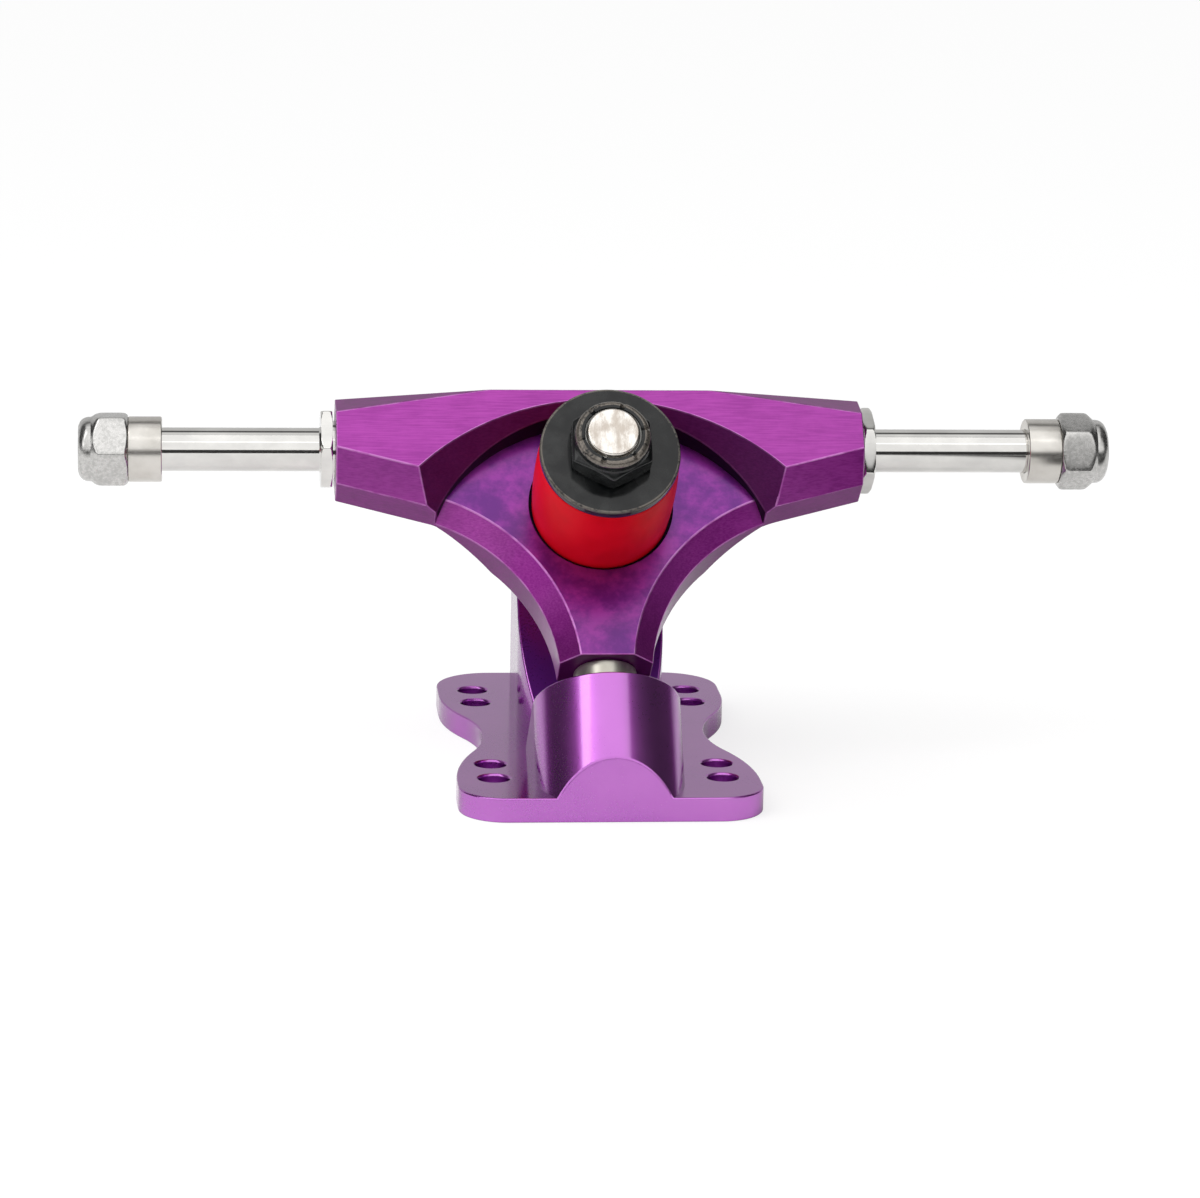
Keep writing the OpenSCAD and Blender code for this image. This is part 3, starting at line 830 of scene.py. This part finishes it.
def hexagon(flats, angle, width=0.0):
    """Half the flats over the cosine of the angle from the nearest flat, rounded into the next flat."""
    turn = np.abs(angle % SIXTH - SIXTH / 2)
    return softer(flats / 2 / np.cos(turn), flats / 2 / np.cos(SIXTH - turn), width)


def corner_angle(node, line):
    """Angle of a hexagon's first corner, from the six-fold mean direction of the node's outermost points."""
    points = node_points(node)
    radius = line.around(points)[1]
    far = points[radius > OUTERMOST * radius.max()] - line.point
    angle = np.arctan2(far @ line.other, far @ line.side)
    return np.angle(np.exp(1j * SIDES * angle).mean()) / SIDES


def hex_rows(flats, low, high, face, cones, width, count=33):
    """Rows of a hexagon between two faces, each edge cut by a cone: the smaller of hexagon and both cones.

    A cone's radius is face + distance / tan(cone) at a distance from its end of the hexagon.
    """
    t = np.linspace(0, math.pi, count)
    heights = low + (high - low) * (0.5 - 0.5 * np.cos(t))
    edge = hexagon(flats, hex_angles, width)
    lower_cone = face + (heights - low) / math.tan(math.radians(cones[0]))
    upper_cone = face + (high - heights) / math.tan(math.radians(cones[1]))
    radius = softer(softer(edge[None, :], lower_cone[:, None], width), upper_cone[:, None], width)
    return list(zip(radius, heights))


print("hexagons have", len(hex_angles), "columns, closest at the corners")

# %% Threads and soft edges
PITCH = 1.06 * MM
THREAD_DEPTH = 0.55 * MM
THREAD_ROWS = 7
SOFT_STEPS = 2


def thread_rows(radius, low, high):
    """Rows of a thread: radius minus depth times (1 - cos) / 2 of height / pitch - turns.

    The depth fades out over one pitch at both ends.
    """
    height = np.linspace(low, high, int((high - low) / PITCH * THREAD_ROWS) + 1)
    phase = height[:, None] / PITCH - hex_angles[None, :] / (2 * math.pi)
    saw = 0.5 - 0.5 * np.cos(2 * math.pi * phase)
    fade = np.clip(np.minimum(height - low, high - height) / PITCH, 0, 1)[:, None]
    return list(zip(radius - THREAD_DEPTH * saw * fade, height))


def rolled_edge(radius, top, roll, count, dip=0.0):
    """Rows of a quarter circle: radius - roll (1 - cos a) and top - roll + (roll - dip) sin a."""
    quarter = np.linspace(0, math.pi / 2, count)
    return [(radius - roll * (1 - math.cos(a)), top - roll + (roll - dip) * math.sin(a)) for a in quarter]


def soften(piece, width):
    """A narrow Bevel modifier on the hard edges of a turned piece."""
    bevel = piece.modifiers.new("soft edge", "BEVEL")
    bevel.width = width
    bevel.segments = SOFT_STEPS
    bevel.limit_method = "ANGLE"
    bevel.angle_limit = SHARP
    bevel.harden_normals = True


print("threads have a pitch of", round(PITCH / MM, 2), "mm")

# %% [markdown]
# ## Lock nuts
# The hexagon carries a thin collar that is rolled over the nylon ring. On the kingpin nut the roll left
# small notches round the rim, and the black has worn off it. The nuts could be three models, but one
# function with a few shares of their size gives them all.

# %% Three lock nuts
NUT_ROUND = 0.3 * MM
NUT_SOFT = 0.12 * MM
NUT_FACE = 0.985
NUT_CONE = 30
BORE_LEAD = (0.45 * MM, 0.5 * MM)
WAIST_FOOT = (0.2 * MM, 0.1 * MM)
WAIST_TOP = 0.4 * MM
LIP_SHARE = 0.35
LIP_CURL = (0.1 * MM, 0.2 * MM)
NOTCH_START = math.radians(11)
NOTCH_SHARE = 0.05
NOTCH_DEPTH = 0.5 * MM
ROLL_ROWS = 7
RIM_WEAR = 0.75
WEAR_FROM = 0.4
WEAR_DOWN = 0.8
KINGPIN_NUT = {"notches": 6, "collar_share": 0.95, "hex_share": 0.64, "cone": 30, "roll": 1.1 * MM}
AXLE_NUT = {"notches": 0, "collar_share": 0.93, "hex_share": 0.7, "cone": 44, "roll": 1.9 * MM}


def lock_nut(name, node, insert, line, body, material, slot, notches, collar_share, hex_share, cone, roll):
    """Rows of bore, hexagon, waist, collar and rolled rim, then back down past the ring's seat.

    A notch has its full depth up to half a NOTCH_SHARE of a step from its middle and ends at one and a half.
    """
    low, high, corner = extent(node, line)
    bore = inner_radius(node, line)
    seat_low, seat_high, seat_wall = extent(insert, line)
    flats = 2 * corner / CORNER_SHARE
    shoulder = low + hex_share * (high - low)
    collar = collar_share * flats / 2
    lip = bore + LIP_SHARE * (seat_wall - bore)
    wave = np.abs((hex_angles - NOTCH_START) * notches / (2 * math.pi) % 1 - 0.5)
    notch = np.clip(1.5 - wave / NOTCH_SHARE, 0, 1) * NOTCH_DEPTH
    rows = [(bore, low + BORE_LEAD[1]), (bore + BORE_LEAD[0], low)]
    rows += hex_rows(flats, low, shoulder, NUT_FACE * flats / 2, (NUT_CONE, cone), NUT_ROUND)
    rows += [(collar + WAIST_FOOT[0], shoulder + WAIST_FOOT[1]), (collar, shoulder + WAIST_TOP)]
    rows += rolled_edge(collar, high, roll, ROLL_ROWS, notch)
    rows += [(lip, high - notch), (lip - LIP_CURL[0], high - LIP_CURL[1] - notch)]
    rows += [(lip, seat_high), (seat_wall, seat_high), (seat_wall, seat_low), (bore, seat_low)]
    mesh = turned_mesh(name, line, rows, hex_angles + corner_angle(node, line), False)
    if notches:
        worn_from = lip + WEAR_FROM * (collar - lip)
        mark_rim(mesh, line, worn_from, collar, high - WEAR_DOWN * roll, RIM_WEAR)
    soften(add_piece(name, mesh, body, material, slot, node), NUT_SOFT)


lock_nut("kingpin_lock_nut", "kingpin_nut", "kingpin_nut_insert", kingpin_line, "kingpin_nut",
         black_finish, "black_steel", **KINGPIN_NUT)
for side, line in axle_lines.items():
    lock_nut(f"axle_lock_nut_{side}", f"axle_nut_{side}", f"axle_nut_insert_{side}", line, f"nut_{side}",
             nut_finish, "plated_steel", **AXLE_NUT)

# %% [markdown]
# ## Axles
# Each stub axle is one turned piece: a stud screwed into the hanger, a narrow relief, a hexagonal collar
# for the wrench, the ground shaft for the bearings and a thread for the nut. It could be joined from
# parts, but one profile from end to end leaves no seams.

# %% Two stub axles
CLEARANCE = 0.05 * MM
STUD_SHARE = 1.24
RELIEF_SHARE = 0.38
RELIEF = 0.5 * MM
COLLAR = 2.1 * MM
COLLAR_FACE = 1.06
COLLAR_CONES = (30, 30)
COLLAR_ROUND = 0.15 * MM
COLLAR_ROWS = 17
FILLET = 0.3 * MM
THREAD_START = 0.8 * MM
THREAD_LEAD = 0.2 * MM
AXLE_CHAMFER = 0.7 * MM
AXLE_SOFT = 0.1 * MM


def stub_axle(name, node, side):
    """Rows from the stud's end to the thread's end, closed on the line at both."""
    line = axle_lines[side]
    low, high, corner = extent(node, line)
    hanger_face = extent("hanger", line)[1]
    thread_low = extent(f"spacer_{side}", line)[0] + THREAD_START
    shaft = inner_radius(f"spacer_{side}", line) - CLEARANCE
    stud = shaft * STUD_SHARE
    flats = 2 * corner / CORNER_SHARE
    relief = RELIEF_SHARE * flats
    collar_low = hanger_face + RELIEF
    collar_high = collar_low + COLLAR
    rows = [(0.0, low), (stud - AXLE_CHAMFER, low), (stud, low + AXLE_CHAMFER), (stud, hanger_face)]
    rows += [(relief, hanger_face), (relief, collar_low)]
    rows += hex_rows(flats, collar_low, collar_high, COLLAR_FACE * flats / 2, COLLAR_CONES, COLLAR_ROUND,
                     COLLAR_ROWS)
    rows += [(shaft + FILLET, collar_high), (shaft, collar_high + FILLET), (shaft, thread_low)]
    rows += thread_rows(shaft, thread_low + THREAD_LEAD, high - AXLE_CHAMFER)
    rows += [(shaft - AXLE_CHAMFER, high), (0.0, high)]
    mesh = turned_mesh(name, line, rows, hex_angles + corner_angle(node, line), True)
    soften(add_piece(name, mesh, "hanger", axle_finish, "polished_steel", node), AXLE_SOFT)


for side in axle_lines:
    stub_axle(f"stub_axle_{side}", f"axle_{side}", side)

# %% [markdown]
# ## Kingpin and pivot
# The kingpin is a socket-head bolt: its head sits behind the pillar and its cut end shows in the nut. The
# pivot pin is a plain dowel that turns in a plastic cup. Cylinders would do for what shows, but the
# hidden ends show when the truck is taken apart, so each profile runs from end to end.

# %% Kingpin bolt
KEY_FLATS = 7.94 * MM
KEY_DEPTH = 4.7 * MM
KEY_LEAD = 0.2 * MM
HEAD_EDGE = 0.8 * MM
HEAD_LEAD = 0.3 * MM
THREAD_UNDER_NUT = 4 * MM
TIP = 0.5 * MM
TIP_ROWS = 6
BOLT_SOFT = 0.12 * MM


def kingpin_bolt(name, node):
    """Rows from the floor of the key socket, round the head, up the shank and thread to the cut end."""
    low, high, head = extent(node, kingpin_line)
    shank = inner_radius("kingpin_nut", kingpin_line) - CLEARANCE
    head_top = extent("kingpin_head_washer", kingpin_line)[0]
    nut_low = extent("kingpin_nut", kingpin_line)[0]
    key = hexagon(KEY_FLATS, hex_angles)
    rows = [(0.0, low + KEY_DEPTH), (key, low + KEY_DEPTH), (key, low + KEY_LEAD), (key + KEY_LEAD, low)]
    rows += [(head - HEAD_EDGE, low), (head, low + HEAD_EDGE), (head, head_top - HEAD_LEAD)]
    rows += [(head - HEAD_LEAD, head_top), (shank, head_top)]
    rows += thread_rows(shank, nut_low - THREAD_UNDER_NUT, high - TIP)
    rows += rolled_edge(shank, high, TIP, TIP_ROWS)
    rows += [(0.5 * (shank - TIP), high), (0.0, high)]
    mesh = turned_mesh(name, kingpin_line, rows, hex_angles, True)
    soften(add_piece(name, mesh, "base", kingpin_finish, "polished_steel", node), BOLT_SOFT)


kingpin_bolt("kingpin_bolt", "kingpin")

# %% Pivot pin and cup
SHANK_SHARE = 0.826
SHANK_EDGE = 0.5 * MM
PIN_SHOULDER = 0.3 * MM
PIN_EDGE = 0.9 * MM
CUP_FLOOR = 1.0 * MM
CUP_LEAD = 0.4 * MM
CUP_RIM = 0.2 * MM


def pivot_dowel(name, node):
    """Rows from the shank's end in the hanger, over the shoulder at its nose, to the end in the cup."""
    low, high, outer = extent(node, pivot_line)
    nose_height = extent("hanger", pivot_line)[1]
    shank = SHANK_SHARE * outer
    rows = [(0.0, low), (shank - SHANK_EDGE, low), (shank, low + SHANK_EDGE), (shank, nose_height)]
    rows += [(outer - PIN_SHOULDER, nose_height), (outer, nose_height + PIN_SHOULDER)]
    rows += [(outer, high - PIN_EDGE), (outer - PIN_EDGE, high), (0.0, high)]
    mesh = turned_mesh(name, pivot_line, rows, round_angles, True)
    soften(add_piece(name, mesh, "hanger", pin_finish, "polished_steel", node), BOLT_SOFT)


def pivot_socket(name, node):
    """Rows from the cup's inner floor up its bore, over the rim and down its outside to the end."""
    low, high, outer = extent(node, pivot_line)
    bore = extent("pivot_pin", pivot_line)[2] + CLEARANCE
    bottom = high - CUP_FLOOR
    rows = [(0.0, bottom), (bore, bottom), (bore, low + CUP_LEAD), (bore + CUP_LEAD, low)]
    rows += [(outer - CUP_RIM, low), (outer, low + CUP_RIM)]
    rows += [(outer, high - CUP_LEAD), (outer - CUP_LEAD, high), (0.0, high)]
    mesh = turned_mesh(name, pivot_line, rows, round_angles, True)
    add_piece(name, mesh, "base", nylon_finish, "white_plastic", node)


pivot_dowel("pivot_dowel", "pivot_pin")
pivot_socket("pivot_socket", "pivot_cup")

# %% [markdown]
# ## Floor
# Metal looks like what it reflects, so the studio is part of the finish. A plain white floor would light
# every face that tips down alike. This one is white to the camera and keeps a faint shadow, but in
# reflections it is a pale card that ends in front of the truck and has a dark patch at the right, a
# painted shadow of the truck, so the faces that tip down mirror pale and dark side by side. Each of
# these edges has a place and a softness.

# %% White ground with a card and a painted shadow patch
WHITE = (1, 1, 1, 1)
CHALK = (0.9, 0.9, 0.9, 1)
FLOOR_SIZE = 4.0
FLOOR_GLOW = 1.09
DARK_GLOW = 0.04
CAMERA_SHARE = 0.7
GLOSSY_SHARE = 0.1
CARD_FRONT = (0.34, 0.02)
DARK_RIGHT = (0.105, 0.015)
DARK_FROM = (0.07, 0.02)
DARK_TO = (0.30, 0.03)


def past(value, place, soft):
    """0 before a place, 1 past it, smooth over a width on both sides."""
    return value.between(place - soft, place + soft)


def floor_finish(paint):
    """Diffuse white that mostly glows for the camera, so the ground is white and keeps a faint shadow."""
    camera_ray, glossy_ray = paint.node("ShaderNodeLightPath", out=("Is Camera Ray", "Is Glossy Ray"))
    right, back = paint.node("ShaderNodeSeparateXYZ", None, {0: paint.place()}, out=("X", "Y"))
    forward = 0 - back
    # Painted shadow: reflections see the floor dark in this patch at the right, as if the truck shaded it.
    shadow_patch = past(right, *DARK_RIGHT) * past(forward, *DARK_FROM)
    shadow_patch = shadow_patch * (1 - past(forward, *DARK_TO))
    card = (1 - shadow_patch) * (1 - past(forward, *CARD_FRONT))
    glow = paint.node("ShaderNodeEmission", None, {"Color": WHITE, "Strength": FLOOR_GLOW})
    chalk = paint.node("ShaderNodeBsdfDiffuse", None, {"Color": CHALK})
    dark = paint.node("ShaderNodeEmission", None, {"Color": WHITE, "Strength": DARK_GLOW})
    glowing = CAMERA_SHARE * camera_ray + GLOSSY_SHARE * glossy_ray
    ground_mix = paint.node("ShaderNodeMixShader", None, {0: glowing, 1: chalk, 2: glow})
    mixed = paint.node("ShaderNodeMixShader", None, {0: glossy_ray * (1 - card), 1: ground_mix, 2: dark})
    paint.feed(paint.tree.nodes["Material Output"].inputs["Surface"], mixed)


floor_corners = [(-FLOOR_SIZE, -FLOOR_SIZE, 0), (FLOOR_SIZE, -FLOOR_SIZE, 0),
                 (FLOOR_SIZE, FLOOR_SIZE, 0), (-FLOOR_SIZE, FLOOR_SIZE, 0)]
floor_mesh = bpy.data.meshes.new("floor")
floor_mesh.from_pydata(floor_corners, [], [(0, 1, 2, 3)])
floor_material = bpy.data.materials.new("floor")
floor_material.use_nodes = True
floor_material.node_tree.nodes.remove(floor_material.node_tree.nodes["Principled BSDF"])
floor_finish(Paint(floor_material.node_tree))
floor_mesh.materials.append(floor_material)
floor = bpy.data.objects.new("floor", floor_mesh)
bpy.context.scene.collection.objects.link(floor)
print("floor", 2 * FLOOR_SIZE, "m wide, pale to", CARD_FRONT[0], "m in front of the truck")

# %% [markdown]
# ## World
# The room that the metal mirrors is painted by direction: a pale backdrop, a bright front, a crown over
# the truck and dark gaps between them, which draw the thin dark lines along the shafts. Cards and flags
# on stands could do the same. For diffuse light the world is a soft level, higher on the left and lower
# on the right, and the camera sees plain white.

# %% Room by direction
BACKDROP_FROM = (0.53, 0.66)
FRONT_FROM = (0.35, 0.7)
FRONT_FOOT = (0.13, 0.15)
FRONT_HEAD = (0.74, 0.82)
CEILING_FROM = (0.5, 0.85)
CROWN_NEAR = (-0.05, 0.1)
CROWN_FAR = (0.32, 0.42)
CROWN_FOOT = (0.6, 0.8)
CROWN_SIDE = (0.06, 0.2)
LEFT_FROM = (-0.1, 0.8)
RIGHT_FROM = (0.0, 0.7)
world = bpy.data.worlds.new("studio")
world.use_nodes = True
world.cycles.sampling_method = "NONE"
bpy.context.scene.world = world
sky = Paint(world.node_tree)
direction = sky.node("ShaderNodeTexCoord", out="Generated")
sideways, away, upward = sky.node("ShaderNodeSeparateXYZ", None, {0: direction}, out=("X", "Y", "Z"))
print("room split into", len(world.node_tree.nodes), "nodes")

# %% Levels of the room
ROOM_LEVEL = 0.05
BACKDROP_LEVEL = 0.58
FRONT_LEVEL = 1.1
CEILING_LEVEL = 0.05
CROWN_LEVEL = 0.8
AMBIENT_LEVEL = 0.5
LEFT_GAIN = 1.3
RIGHT_LOSS = 0.4
backdrop = away.between(*BACKDROP_FROM)
front = (0 - away).between(*FRONT_FROM) * upward.between(*FRONT_FOOT) * (1 - upward.between(*FRONT_HEAD))
ceiling = upward.between(*CEILING_FROM)
crown = away.between(*CROWN_NEAR) * (1 - away.between(*CROWN_FAR)) * upward.between(*CROWN_FOOT)
crown = crown * (1 - (sideways * sideways).between(*CROWN_SIDE))
room = ROOM_LEVEL + BACKDROP_LEVEL * backdrop + FRONT_LEVEL * front + CEILING_LEVEL * ceiling
room = room + CROWN_LEVEL * crown * (1 - backdrop)
ambient = AMBIENT_LEVEL + LEFT_GAIN * (0 - sideways).between(*LEFT_FROM)
ambient = ambient - RIGHT_LOSS * sideways.between(*RIGHT_FROM)
is_camera, is_glossy, is_through = sky.node(
    "ShaderNodeLightPath", out=("Is Camera Ray", "Is Glossy Ray", "Is Transmission Ray"))
shown = ambient + is_glossy * (room - ambient)
background = world.node_tree.nodes["Background"]
background.inputs["Color"].default_value = WHITE
sky.feed(background.inputs["Strength"], shown + (is_camera + is_through) * (1 - shown))
print("world has", len(world.node_tree.nodes), "nodes")

# %% [markdown]
# ## Lamps
# A wide soft lamp overhead lights the faces that tip up towards the viewer, a narrow strip at the upper
# left adds a bright band to round pieces, and a fill from the left lifts that side. A sun would give hard
# edges, so all three are rectangles of an even radiance.

# %% Three soft lamps
LAMP_TARGET = (0.0, 0.0, 0.035)
LAMPS = {
    "overhead": {"place": (-0.02, -0.30, 0.88), "size": (0.95, 0.68), "radiance": 1.15},
    "strip": {"place": (-0.58, -0.30, 0.80), "size": (0.2, 0.5), "radiance": 3.0},
    "left_fill": {"place": (-1.0, -0.45, 0.45), "size": (0.4, 0.5), "radiance": 1.6},
}


def look(place, target, roll):
    """Matrix of something at a place that looks along -Z at a target, turned by roll about that line."""
    back = np.array(place, float) - np.array(target, float)
    back /= np.linalg.norm(back)
    right = np.cross((0.0, 0.0, 1.0), back)
    right /= np.linalg.norm(right)
    turned_right = math.cos(roll) * right + math.sin(roll) * np.cross(back, right)
    matrix = np.eye(4)
    matrix[:3] = np.stack([turned_right, np.cross(back, turned_right), back, place], axis=1)
    return Matrix(matrix.tolist())


def soft_lamp(name, place, size, radiance):
    """A rectangular lamp of an even radiance: power is radiance times pi times its area."""
    data = bpy.data.lights.new(name, "AREA")
    data.shape = "RECTANGLE"
    data.size, data.size_y = size
    data.energy = radiance * math.pi * size[0] * size[1]
    lamp = bpy.data.objects.new(name, data)
    lamp.matrix_world = look(place, LAMP_TARGET, 0.0)
    bpy.context.scene.collection.objects.link(lamp)
    print("lamp", name, round(data.energy, 2), "W")


for lamp_name, lamp_facts in LAMPS.items():
    soft_lamp(lamp_name, **lamp_facts)

# %% [markdown]
# ## Camera
# The viewing angle, distance and lens were fitted to the holes of the plate, whose spacing is known.
# Angles tried by eye could come close, but a fitted camera also gives the sizes. The truck is in the
# middle of the frame, a little larger and in the same perspective.

# %% Camera at the fitted place
PHOTO_WIDTH = 1200
FOCAL_PIXELS = 3179
SENSOR = 36.0
CLOSER = 1.36
AZIMUTH = math.radians(-5.47)
ELEVATION = math.radians(13.17)
ROLL = math.radians(1.2)
DISTANCE = 0.803
aim = np.array([0.0008, 0.0, 0.0300])
outward = np.array([math.sin(AZIMUTH) * math.cos(ELEVATION), -math.cos(AZIMUTH) * math.cos(ELEVATION),
                    math.sin(ELEVATION)])
camera_data = bpy.data.cameras.new("camera")
camera_data.sensor_width = SENSOR
camera_data.lens = FOCAL_PIXELS / PHOTO_WIDTH * SENSOR * CLOSER
camera = bpy.data.objects.new("camera", camera_data)
camera.matrix_world = look(aim + DISTANCE * outward, aim, ROLL)
bpy.context.scene.collection.objects.link(camera)
bpy.context.scene.camera = camera
bpy.context.scene.view_settings.view_transform = "Standard"
print("camera", DISTANCE, "m away with a lens of", round(camera_data.lens, 1), "mm")
